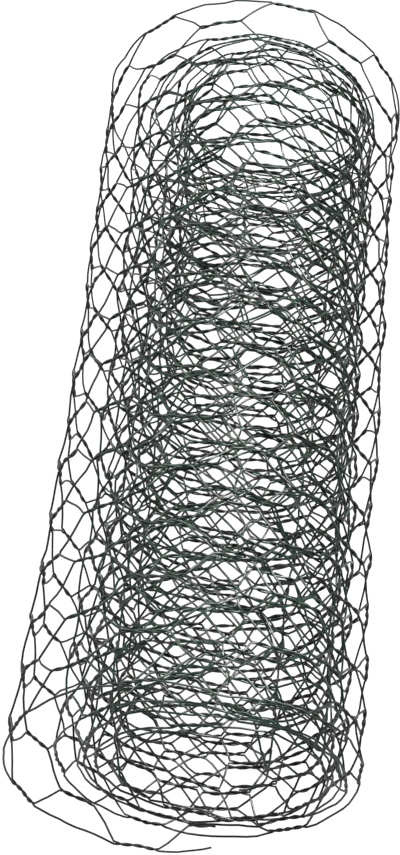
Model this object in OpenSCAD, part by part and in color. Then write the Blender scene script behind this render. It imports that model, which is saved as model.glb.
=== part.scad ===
// A loose roll of hexagonal wire netting, lying on its side.
// The netting is one continuous strip, so the roll is one turned solid: a thick tube whose
// end faces are cut back between the turns, so that each turn stands out as a thin ring.
// Frame: the roll's axis runs along Y, it lies on z = 0, and the origin is under its middle.

/* [Netting] */
// Width of the netting strip, which is the length of the roll
strip_width = 350; // [200:5:900]
// Diameter of one coated wire
wire_d = 0.9; // [0.5:0.1:1.6]

/* [Roll] */
// Diameter of the open bore through the middle of the roll
bore_d = 58.4; // [20:0.2:150]
// Number of turns of netting around the bore
turns = 6; // [2:1:8]
// Open space between one turn and the next
turn_gap = 6; // [3:0.5:15]
// How far back the spaces between the turns reach from each end
end_relief = 12; // [2:1:40]

/* [Hidden] */

// Two wires twisted together are as thick as the strip gets
turn_t = 2 * wire_d;
turn_pitch = turn_t + turn_gap;
bore_r = bore_d / 2;
outer_r = bore_r + turns * turn_t + (turns - 1) * turn_gap;
// Overrun of each cutting square past the end face that it cuts
overrun = 1;
facets = 128;

// The space that follows turn number i, counted from the bore, at one end of the roll.
// The end at -Y is cut first, and the end at +Y is its mirror image.
module turn_space(i) {
    translate([bore_r + i * turn_pitch + turn_t, -strip_width / 2 - overrun])
        square([turn_gap, end_relief + overrun]);
}

// Half section of the roll: radius along X, the roll's axis along Y
module half_section() {
    difference() {
        translate([bore_r, -strip_width / 2])
            square([outer_r - bore_r, strip_width]);
        for (i = [0 : turns - 2], end = [0, 1])
            mirror([0, end])
                turn_space(i);
    }
}

module netting_roll() {
    color("darkslategray")
        translate([0, 0, outer_r])
            rotate([90, 0, 0])
                rotate_extrude($fn = facets)
                    half_section();
}

netting_roll();
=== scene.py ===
import bisect
import math
import random

import bmesh
import bpy
from mathutils import Matrix, Vector, noise


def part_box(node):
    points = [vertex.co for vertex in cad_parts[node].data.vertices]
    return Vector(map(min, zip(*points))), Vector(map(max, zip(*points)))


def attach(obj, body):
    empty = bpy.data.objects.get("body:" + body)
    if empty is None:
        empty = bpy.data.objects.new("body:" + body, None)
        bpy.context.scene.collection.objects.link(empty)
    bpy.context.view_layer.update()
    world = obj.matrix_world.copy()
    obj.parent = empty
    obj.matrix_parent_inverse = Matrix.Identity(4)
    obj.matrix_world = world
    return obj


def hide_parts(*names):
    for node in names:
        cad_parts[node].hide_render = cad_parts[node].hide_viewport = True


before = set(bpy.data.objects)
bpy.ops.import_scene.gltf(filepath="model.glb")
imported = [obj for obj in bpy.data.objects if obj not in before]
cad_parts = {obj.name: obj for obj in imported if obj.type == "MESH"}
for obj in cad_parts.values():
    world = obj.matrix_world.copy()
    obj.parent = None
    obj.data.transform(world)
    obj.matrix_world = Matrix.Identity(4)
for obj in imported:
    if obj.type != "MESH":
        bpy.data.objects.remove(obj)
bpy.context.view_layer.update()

# A loose roll of hexagonal wire netting. Every wire of the netting is made as it is woven: it zigzags
# along the strip and is twisted with its left and right neighbour in turn. The strip is then rolled up.
# u runs along the strip from its outer free end, v runs across it from the near end of the roll, and
# lift is a distance outwards from the netting's own surface. All lengths are in metres.

ROLL_LOW, ROLL_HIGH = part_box("netting_roll")
FLOOR_HEIGHT = ROLL_LOW.z
AXIS_HEIGHT = (ROLL_LOW.z + ROLL_HIGH.z) / 2
NEAR_END = ROLL_LOW.y
ROLL_LENGTH = ROLL_HIGH.y - ROLL_LOW.y
MM = 0.001
SEED = 11

# Netting
ROWS = 29                    # half meshes across the strip
WIRE_RADIUS = 0.45 * MM      # over its coating
CORE_RADIUS = 0.30 * MM      # the steel inside it
PITCH = 59.2 * MM            # one whole mesh along the strip
TIGHTER_PITCH = 54 * MM      # the meshes are less drawn out further in
DRAWN_PITCHES = 15.5
STRIP_PITCHES = 31
FIRST_EVEN_TWIST = 31 * MM   # middle of the first twist of the even rows, from the free end
FIRST_ODD_TWIST = 1.2 * MM   # the odd rows are cut through the middle of their first twist
TWIST_LENGTH = 18.5 * MM
TWIST_TURNS = 1.5            # after an odd number of half turns the two wires have changed sides
RIM_TWIST_TURNS = 2          # the rim wires come back to their own side
TWIST_SQUEEZE = 0.86         # the soft coats press into each other
TWIST_FLARE = 0.4            # how much the two wires part at the ends of their twist
FLARE_POWER = 7
TWIST_STRAIGHTNESS = 0.55    # a twist is stiff, so it bends only partly with the roll
SHORTEST_TWIST = 2 * MM      # what is cut shorter has come undone
TIP_CURL = 6 * MM            # how far the rim wires' loose ends curl in
STRIP_LENGTH = (FIRST_ODD_TWIST + DRAWN_PITCHES * PITCH + (STRIP_PITCHES - DRAWN_PITCHES) * TIGHTER_PITCH
                + TWIST_LENGTH / 2)      # cut behind the odd rows' last twist
ROW_STEP = ROLL_LENGTH / ROWS

# Distance in mm from the roll's axis to the netting, at every quarter turn inwards from the free end:
# under the axis, left of it, over it and right of it. The middle of the roll's length has a slight waist.
NEAR_RADII = (68.5, 70, 65, 67, 53, 50, 55, 61, 42.5, 42, 50, 58, 40, 39.5, 46, 56,
              33, 34, 37, 54, 28, 28, 28.5, 31, 29)
MIDDLE_RADII = (68.5, 65.5, 67, 66, 54, 50.5, 53.5, 58, 46, 45, 50, 56, 42, 39, 46, 54,
                36, 33, 40, 51, 32, 29, 32.5, 38, 30)
FAR_RADII = (68.5, 69.5, 72, 67.5, 56, 55, 54, 56.5, 48, 47, 51, 55, 45, 38, 48, 53,
             40, 33, 44, 51, 36, 31, 38, 48, 33)
QUARTER_TURN = math.pi / 2
START_ANGLE = math.radians(-9)
# Where one end of the roll is wound tighter than the other, its rows get ahead by this part of the
# difference. The meshes' give takes up the rest.
ROW_FREEDOM = 0.4

# Where the roll is dented: the angle round the axis, the distance from its near end, how far the netting
# is pushed in, and how far the dent reaches round the roll and along it
DENTS = (
    (math.radians(203), 35 * MM, 5.5 * MM, math.radians(32), 85 * MM),
    (math.radians(231), 0 * MM, -4.0 * MM, math.radians(18), 22 * MM),
    (math.radians(360 + 224), 190 * MM, 4.0 * MM, math.radians(24), 170 * MM),
    (math.radians(720 + 222), 160 * MM, 4.0 * MM, math.radians(24), 170 * MM),
    (math.radians(1080 + 220), 200 * MM, 4.0 * MM, math.radians(24), 170 * MM),
)
DENT_FADED = 9               # the square of how many reaches away a dent is no longer felt

# Where the meshes have slipped along the strip: the distance from its outer free end and from the roll's
# near end, how far they have slipped, and how far that reaches along the strip and across it
SLIPS = (
    (240 * MM, 340 * MM, 5 * MM, 80 * MM, 110 * MM),
    (600 * MM, 200 * MM, -7 * MM, 150 * MM, 220 * MM),
    (1200 * MM, 350 * MM, 9 * MM, 110 * MM, 100 * MM),
    (1450 * MM, 330 * MM, -12 * MM, 100 * MM, 130 * MM),
    (1690 * MM, 60 * MM, 6 * MM, 120 * MM, 150 * MM),
    (1690 * MM, 350 * MM, 13 * MM, 120 * MM, 160 * MM),
)

# How unevenly the netting lies. The outer turn is neat, and the rest is fully uneven from UNEVEN_FROM on.
UNEVEN_FROM = 600 * MM
SHAKE_ALONG = 1.2 * MM       # how far single twists are out of place
SHAKE_ACROSS = 0.7 * MM
DRIFT_ALONG = 8 * MM         # how far whole patches of meshes are, and how large those are
DRIFT_ALONG_SIZE = 110 * MM
DRIFT_ACROSS = 6 * MM
DRIFT_ACROSS_SIZE = 100 * MM
TELESCOPING = 6 * MM         # how far the turns are pushed along each other
TELESCOPING_SIZE = 140 * MM
HELD_ROWS = 4                # the rims hold this many rows beside them in line
WAVES = 1.1 * MM             # how far the strip waves in and out
WAVE_SIZE = 90 * MM
TWIST_SPREAD = 0.07          # how much the twists differ in length
TWIST_LEAN = 0.5 * MM
OUTER_LIFT = 0.6 * MM        # how far single twists stand in or out
INNER_LIFT = 0.8 * MM        # and how much more inside the roll
LINK_BOW = 0.035             # of its length
KINK = 1.0 * MM              # how far kinks push the wires off their smooth course
KINK_LENGTH = 10 * MM
KINK_OFFSETS = Vector((7.1, 0, 0)), Vector((0, 13.7, 0)), Vector((0, 0, 29.9))
NOISE_CHANNEL_STEP = 17.3

# Mesh density of the wires
TWIST_STEPS = 14
LINK_STEPS = 4
SELVAGE_STEPS = 9
TIP_STEPS = 6


def smooth_noise(u, v, size, channel):
    """A smooth wander between -1 and 1 over the strip, whose waves are about as long as size."""
    return noise.noise(Vector((u / size, v / size, NOISE_CHANNEL_STEP * channel)))


def drawn_length(pitches):
    """How far along the strip so many meshes reach."""
    drawn = min(pitches, DRAWN_PITCHES)
    return drawn * PITCH + (pitches - drawn) * TIGHTER_PITCH


class Roll:
    """Rolls the flat strip up: turns (u, v, lift) into a place in the roll."""

    STEP = math.radians(2)

    def __init__(self):
        self.courses = [self.measure(row * ROW_STEP) for row in range(ROWS + 1)]

    def measure(self, v):
        """The length rolled up at every step round the roll, on one row of the netting."""
        lengths = [0.0]
        angle = START_ANGLE
        while lengths[-1] < STRIP_LENGTH + PITCH:
            turned = angle / QUARTER_TURN
            mean = MM * (self.quarter_radius(NEAR_RADII, turned) + self.quarter_radius(FAR_RADII, turned)) / 2
            radius = mean + ROW_FREEDOM * (self.radius(angle, v) - mean)
            lengths.append(lengths[-1] + radius * self.STEP)
            angle += self.STEP
        return lengths

    @staticmethod
    def quarter_radius(radii, turned):
        """The radius after so many quarter turns, on a smooth curve through the quarter radii."""
        last = len(radii) - 1
        i = min(max(int(math.floor(turned)), 0), last - 1)
        t = min(max(turned - i, 0.0), 1.0)
        before, low = radii[max(i - 1, 0)], radii[i]
        high, after = radii[i + 1], radii[min(i + 2, last)]
        slope_low, slope_high = (high - before) / 2, (after - low) / 2
        return ((2 * t ** 3 - 3 * t ** 2 + 1) * low + (t ** 3 - 2 * t ** 2 + t) * slope_low
                + (3 * t ** 2 - 2 * t ** 3) * high + (t ** 3 - t ** 2) * slope_high)

    def radius(self, angle, v):
        """The distance from the axis to the netting's surface."""
        turned = angle / QUARTER_TURN
        across = min(max(v / ROLL_LENGTH, 0.0), 1.0)
        near = self.quarter_radius(NEAR_RADII, turned)
        middle = self.quarter_radius(MIDDLE_RADII, turned)
        far = self.quarter_radius(FAR_RADII, turned)
        waist = middle - (near + far) / 2
        radius = (near + (far - near) * across + waist * 4 * across * (1 - across)) * MM
        for dent_angle, dent_v, depth, reach_round, reach_along in DENTS:
            away = ((angle - dent_angle) / reach_round) ** 2 + ((v - dent_v) / reach_along) ** 2
            if away < DENT_FADED:
                radius -= depth * math.exp(-away)
        return radius

    def angle(self, u, v):
        """The angle round the axis, from straight below, at distance u along the strip."""
        row = min(max(v / ROW_STEP, 0.0), ROWS - 0.001)
        part = row - int(row)
        near_row, far_row = self.courses[int(row)], self.courses[int(row) + 1]
        return self.angle_on_row(near_row, u) * (1 - part) + self.angle_on_row(far_row, u) * part

    def angle_on_row(self, lengths, u):
        i = min(max(bisect.bisect_right(lengths, u), 1), len(lengths) - 1)
        part = (u - lengths[i - 1]) / (lengths[i] - lengths[i - 1])
        return START_ANGLE + (i - 1 + part) * self.STEP

    def place(self, u, v, lift=0.0):
        angle = self.angle(u, v)
        radius = self.radius(angle, v) + lift + WAVES * smooth_noise(u, v, WAVE_SIZE, channel=1)
        return Vector((-radius * math.sin(angle), NEAR_END + v, AXIS_HEIGHT - radius * math.cos(angle)))


class Netting:
    """Places every twist of the netting, and lays each wire through its twists."""

    def __init__(self, roll):
        self.roll = roll
        self.random = random.Random(SEED)
        self.twists = {}
        self.twist_order = []
        for n in range(STRIP_PITCHES + 1):
            for parity, first in ((1, FIRST_ODD_TWIST), (0, FIRST_EVEN_TWIST)):
                self.twist_order.append((parity, n))
                for row in range(parity, ROWS + 1, 2):
                    self.twists[row, n] = self.make_twist(row, first + drawn_length(n))

    def make_twist(self, row, middle_u):
        """One twist: where its two ends are on the strip, and which way its wires turn."""
        shake = self.random.uniform
        inside = min(middle_u / UNEVEN_FROM, 1.0)
        from_rim = min(row, ROWS - row, HELD_ROWS) / HELD_ROWS
        v = row * ROW_STEP
        drift = inside * DRIFT_ALONG * smooth_noise(middle_u, v, DRIFT_ALONG_SIZE, channel=2)
        middle_u += shake(-1, 1) * SHAKE_ALONG + drift
        for slip_u, slip_v, slip, reach_u, reach_v in SLIPS:
            middle_u += slip * math.exp(-((middle_u - slip_u) / reach_u) ** 2 - ((v - slip_v) / reach_v) ** 2)
        drift = inside * from_rim * DRIFT_ACROSS * smooth_noise(middle_u, v, DRIFT_ACROSS_SIZE, channel=3)
        v += shake(-1, 1) * SHAKE_ACROSS + drift
        v += inside * TELESCOPING * smooth_noise(middle_u, 0.0, TELESCOPING_SIZE, channel=4)
        half = TWIST_LENGTH / 2 * shake(1 - TWIST_SPREAD, 1 + TWIST_SPREAD)
        lean = shake(-1, 1) * TWIST_LEAN
        lift = shake(-1, 1) * (OUTER_LIFT + inside * INNER_LIFT)
        low_u, high_u = max(middle_u - half, 0.0), min(middle_u + half, STRIP_LENGTH)
        return {"low_u": low_u, "high_u": high_u, "v": v, "lean": lean, "lift": lift,
                "half": half, "middle": middle_u, "hand": 1 if row % 2 else -1,
                "turns": RIM_TWIST_TURNS if row in (0, ROWS) else TWIST_TURNS}

    def twist_points(self, twist, side):
        """The points of one wire through a twist. side is -1 for the wire that comes from a lower row."""
        left_of_it = twist["high_u"] - twist["low_u"]
        if left_of_it < SHORTEST_TWIST:
            return []
        full = 2 * twist["half"]
        steps = max(2, round(TWIST_STEPS * left_of_it / full))
        start = self.roll.place(twist["low_u"], twist["v"] - twist["lean"], twist["lift"])
        end = self.roll.place(twist["high_u"], twist["v"] + twist["lean"], twist["lift"])
        along = (end - start).normalized()
        across = Vector((0, 1, 0))
        outward = across.cross(along).normalized()
        points = []
        for i in range(steps + 1):
            part = i / steps
            u = twist["low_u"] + part * left_of_it
            turn = (u - (twist["middle"] - twist["half"])) / full
            straight = start.lerp(end, part)
            bent = self.roll.place(u, twist["v"] + (2 * part - 1) * twist["lean"], twist["lift"])
            phase = 2 * math.pi * twist["turns"] * turn * twist["hand"]
            looseness = TWIST_SQUEEZE + TWIST_FLARE * abs(2 * turn - 1) ** FLARE_POWER
            offset = (across * math.cos(phase) + outward * math.sin(phase)) * (WIRE_RADIUS * looseness * side)
            points.append(bent.lerp(straight, TWIST_STRAIGHTNESS) + offset)
        return points

    def link_points(self, start, end):
        """The points between two twists, on a slightly bowed line."""
        shake = self.random.uniform
        chord = end - start
        bow = Vector((shake(-1, 1), shake(-1, 1), shake(-1, 1))) * chord.length * LINK_BOW
        points = []
        for i in range(1, LINK_STEPS):
            part = i / LINK_STEPS
            points.append(start.lerp(end, part) + bow * (4 * part * (1 - part)))
        return points

    def selvage_points(self, start, end, start_u, end_u, v):
        """The rim wire's points between two of its twists. It follows the roll's curve."""
        away_start = start - self.roll.place(start_u, v)
        away_end = end - self.roll.place(end_u, v)
        points = []
        for i in range(1, SELVAGE_STEPS):
            part = i / SELVAGE_STEPS
            on_roll = self.roll.place(start_u + part * (end_u - start_u), v)
            points.append(on_roll + away_start * (1 - part) ** 2 + away_end * part ** 2)
        return points

    def wire(self, lane):
        """The whole course of a wire that starts between row lane and the next row. In every twist it
        changes sides with its neighbour, and at a rim it turns back."""
        points = []
        for parity, n in self.twist_order:
            row = lane if lane % 2 == parity else lane + 1
            side = 1 if row == lane else -1
            stretch = self.twist_points(self.twists[row, n], side)
            if stretch:
                if points:
                    points += self.link_points(points[-1], stretch[0])
                points += stretch
            if 0 < row < ROWS:
                lane -= side
        return points

    def selvage(self, row):
        """The rim wire, which is twisted with the outermost wire at every mesh."""
        side = -1 if row == 0 else 1
        v = row * ROW_STEP
        points = []
        last_u = 0.0
        for key in sorted(k for k in self.twists if k[0] == row):
            twist = self.twists[key]
            stretch = self.twist_points(twist, side)
            if not stretch:
                continue
            if points:
                points += self.selvage_points(points[-1], stretch[0], last_u, twist["low_u"], v)
            elif twist["low_u"] > SHORTEST_TWIST:
                points = self.free_tip(stretch[0], twist["low_u"], 0.0, v)[::-1]
            points += stretch
            last_u = twist["high_u"]
        if STRIP_LENGTH - last_u > SHORTEST_TWIST:
            points += self.free_tip(points[-1], last_u, STRIP_LENGTH, v)
        return points

    def free_tip(self, root, root_u, tip_u, v):
        """The loose end of a rim wire beyond its last twist, which curls in towards the axis."""
        away = root - self.roll.place(root_u, v)
        points = []
        for i in range(1, TIP_STEPS + 1):
            part = i / TIP_STEPS
            on_roll = self.roll.place(root_u + part * (tip_u - root_u), v, -TIP_CURL * part ** 2)
            points.append(on_roll + away * (1 - part) ** 2)
        return points


def kinked(points):
    """A wire's course with small kinks. Wires that touch are pushed the same way, and none into the floor."""
    course = []
    for point in points:
        kink = Vector([noise.noise(point / KINK_LENGTH + offset) for offset in KINK_OFFSETS])
        point = point + KINK * kink
        point.z = max(point.z, FLOOR_HEIGHT + WIRE_RADIUS)
        course.append(point)
    return course


def add_wires(name, courses):
    """One mesh object of round wires with closed ends, one along each course of points."""
    curve = bpy.data.curves.new(name + "_lines", "CURVE")
    curve.dimensions = "3D"
    curve.bevel_depth = WIRE_RADIUS
    curve.bevel_resolution = 1
    curve.use_fill_caps = True
    for points in courses:
        spline = curve.splines.new("POLY")
        spline.points.add(len(points) - 1)
        for point, co in zip(spline.points, kinked(points)):
            point.co = (*co, 1.0)
    lines = bpy.data.objects.new(name + "_lines", curve)
    bpy.context.collection.objects.link(lines)
    bpy.context.view_layer.update()
    mesh = bpy.data.meshes.new_from_object(lines.evaluated_get(bpy.context.evaluated_depsgraph_get()))
    bpy.data.objects.remove(lines)
    bpy.data.curves.remove(curve)
    mesh.name = name
    bare_cut_ends(mesh)
    piece = bpy.data.objects.new(name, mesh)
    bpy.context.collection.objects.link(piece)
    return piece


def bare_cut_ends(mesh):
    """Rounds the wires' sides off smoothly and shows the steel core in the middle of every cut end."""
    bm = bmesh.new()
    bm.from_mesh(mesh)
    ends = [face for face in bm.faces if len(face.verts) > 4]
    for face in bm.faces:
        face.smooth = len(face.verts) <= 4
        face.material_index = 0
    bmesh.ops.inset_individual(bm, faces=ends, thickness=WIRE_RADIUS - CORE_RADIUS)
    for face in ends:
        face.material_index = 1
    bm.to_mesh(mesh)
    bm.free()


class Socket:
    """A shader socket that takes part in Python expressions."""

    def __init__(self, tree, socket=None):
        self.tree = tree
        self.socket = socket

    def node(self, kind, settings=None, **inputs):
        """A new node. A socket is named with _ for a space, or by its number after a _."""
        node = self.tree.nodes.new(kind)
        for key, value in (settings or {}).items():
            if key == "stops":
                ramp = node.color_ramp
                while len(ramp.elements) < len(value):
                    ramp.elements.new(0.5)
                for element, (position, colour) in zip(ramp.elements, value):
                    element.position = position
                    element.color = colour
            else:
                setattr(node, key, value)
        for key, value in inputs.items():
            target = node.inputs[int(key[1:])] if key[0] == "_" else node.inputs[key.replace("_", " ")]
            if isinstance(value, Socket):
                self.tree.links.new(value.socket, target)
            else:
                target.default_value = value
        return node

    def math(self, operation, a, b):
        node = self.node("ShaderNodeMath", {"operation": operation}, _0=a, _1=b)
        return Socket(self.tree, node.outputs[0])

    def __add__(self, other):
        return self.math("ADD", self, other)

    def __radd__(self, other):
        return self.math("ADD", other, self)

    def __sub__(self, other):
        return self.math("SUBTRACT", self, other)

    def __rsub__(self, other):
        return self.math("SUBTRACT", other, self)

    def __mul__(self, other):
        return self.math("MULTIPLY", self, other)

    def __rmul__(self, other):
        return self.math("MULTIPLY", other, self)


def new_material(name):
    material = bpy.data.materials.new(name)
    material.use_nodes = True
    tree = material.node_tree
    return material, tree, tree.nodes["Principled BSDF"]


def noise_over(tree, place, scale, detail):
    """Noise over the piece, so many waves to the metre."""
    texture = Socket(tree).node("ShaderNodeTexNoise", {"noise_dimensions": "3D"},
                                Vector=place, Scale=scale, Detail=detail)
    return Socket(tree, texture.outputs["Fac"])


def coated_wire_material():
    """Dark green PVC over the wire: semi-gloss, and a little uneven in colour and surface. Its colour is
    painted lighter and greener towards the top of the roll, a painted light from above, and it is duller and
    greyer on the outermost turn, which has weathered."""
    material, tree, shader = new_material("green_pvc")
    start = Socket(tree)
    place = Socket(tree, start.node("ShaderNodeTexCoord").outputs["Object"])
    patches = noise_over(tree, place, 60.0, 3.0)
    ripple = noise_over(tree, place, 900.0, 2.0)
    axes = start.node("ShaderNodeSeparateXYZ", {}, Vector=place).outputs
    across, height = Socket(tree, axes["X"]), Socket(tree, axes["Z"])
    above_axis = height - AXIS_HEIGHT
    spread = across * across + above_axis * above_axis
    outermost = start.node("ShaderNodeMapRange", {}, Value=spread, From_Min=(58 * MM) ** 2,
                           From_Max=(68 * MM) ** 2)
    weathered = Socket(tree, outermost.outputs["Result"])
    # Painted light: the base colour gets lighter and greener with height, as if lit from above.
    painted_top_light, patchiness, greying = 0.9, 1.6, 0.45
    painted_top_light_and_tone = height * (painted_top_light / ROLL_HIGH.z) + (patches - 0.5) * patchiness - weathered * greying
    tone = start.node("ShaderNodeValToRGB", {"stops": [
        (0.15, (0.004, 0.005, 0.004, 1)), (0.60, (0.005, 0.012, 0.0084, 1)),
        (1.00, (0.008, 0.020, 0.014, 1))]}, Fac=painted_top_light_and_tone)
    tree.links.new(tone.outputs["Color"], shader.inputs["Base Color"])
    shader.inputs["Specular IOR Level"].default_value = 0.3
    roughness = 0.18 + patches * 0.16 + weathered * 0.24
    tree.links.new(roughness.socket, shader.inputs["Roughness"])
    bump = start.node("ShaderNodeBump", {}, Strength=0.25, Distance=0.1 * MM, Height=ripple)
    tree.links.new(bump.outputs["Normal"], shader.inputs["Normal"])
    return material


def cut_steel_material():
    """The freshly cut zinc-grey core at the wires' ends."""
    material, tree, shader = new_material("cut_steel")
    place = Socket(tree, Socket(tree).node("ShaderNodeTexCoord").outputs["Object"])
    scratches = noise_over(tree, place, 4000.0, 2.0)
    shader.inputs["Base Color"].default_value = (0.30, 0.31, 0.31, 1)
    shader.inputs["Metallic"].default_value = 1.0
    roughness = 0.3 + scratches * 0.3
    tree.links.new(roughness.socket, shader.inputs["Roughness"])
    return material


def studio_white_material():
    """White that glows almost evenly, so that the floor and the dome behind it look like one."""
    material, tree, shader = new_material("studio_white")
    shader.inputs["Base Color"].default_value = (0.05, 0.05, 0.05, 1)
    shader.inputs["Roughness"].default_value = 0.9
    shader.inputs["Specular IOR Level"].default_value = 0.0
    shader.inputs["Emission Color"].default_value = (1, 1, 1, 1)
    shader.inputs["Emission Strength"].default_value = 0.98
    return material


def add_floor():
    """A pale floor, and a pale dome round it that neither lights the roll nor shades it."""
    white = studio_white_material()
    bpy.ops.mesh.primitive_plane_add(size=12, location=(0, 0, FLOOR_HEIGHT))
    floor = bpy.context.object
    floor.name = "floor"
    bpy.ops.mesh.primitive_uv_sphere_add(segments=48, ring_count=24, radius=5)
    backdrop = bpy.context.object
    backdrop.name = "backdrop"
    backdrop.visible_diffuse = False
    backdrop.visible_glossy = False
    backdrop.visible_shadow = False
    for stage in (floor, backdrop):
        stage.data.materials.append(white)


def add_softbox(name, place, size, watts):
    """A square soft light that faces the middle of the roll."""
    data = bpy.data.lights.new(name, "AREA")
    data.size = size
    data.energy = watts
    light = bpy.data.objects.new(name, data)
    bpy.context.collection.objects.link(light)
    light.location = place
    light.rotation_euler = (Vector((0, 0, AXIS_HEIGHT)) - Vector(place)).to_track_quat("-Z", "Y").to_euler()


def add_lights():
    world = bpy.data.worlds.new("studio")
    bpy.context.scene.world = world
    world.use_nodes = True
    background = world.node_tree.nodes["Background"]
    background.inputs["Color"].default_value = (1, 1, 1, 1)
    background.inputs["Strength"].default_value = 0.05
    add_softbox("key_light", place=(0.65, 0.56, 1.66), size=0.30, watts=135)
    add_softbox("fill_light", place=(-1.1, 0.2, 1.5), size=0.4, watts=62)


def add_camera():
    """The camera looks down on the roll from beyond its near end. Its place is given by that of the
    middle of the roll's near end, as the camera sees it."""
    pitch, heading = math.radians(52.9), math.radians(5.16)
    in_front, to_the_right, below = 846.5 * MM, -5.5951 * MM, 130.667 * MM
    right = Vector((math.cos(heading), math.sin(heading), 0))
    level = Vector((-math.sin(heading), math.cos(heading), 0))
    forward = math.cos(pitch) * level - math.sin(pitch) * Vector((0, 0, 1))
    up = math.sin(pitch) * level + math.cos(pitch) * Vector((0, 0, 1))
    near_middle = Vector((0, NEAR_END, AXIS_HEIGHT))
    place = near_middle - (right * to_the_right - up * below + forward * in_front)
    data = bpy.data.cameras.new("camera")
    data.lens = 93.64
    data.sensor_width = 36.0
    camera = bpy.data.objects.new("camera", data)
    bpy.context.collection.objects.link(camera)
    turn = Matrix((right, up, -forward)).transposed()
    camera.matrix_world = Matrix.Translation(place) @ turn.to_4x4()
    bpy.context.scene.camera = camera


def build_netting():
    netting = Netting(Roll())
    wires = [netting.wire(lane) for lane in range(ROWS)]
    bands = {
        "netting_wires_1": [netting.selvage(0)] + wires[:9],
        "netting_wires_2": wires[9:20],
        "netting_wires_3": wires[20:] + [netting.selvage(ROWS)],
    }
    materials = coated_wire_material(), cut_steel_material()
    for name, courses in bands.items():
        piece = add_wires(name, courses)
        piece.data.materials.clear()
        for material in materials:
            piece.data.materials.append(material)
        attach(piece, "root")
        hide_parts("netting_roll")


add_camera()
add_lights()
add_floor()
build_netting()
bpy.context.scene.view_settings.view_transform = "Standard"
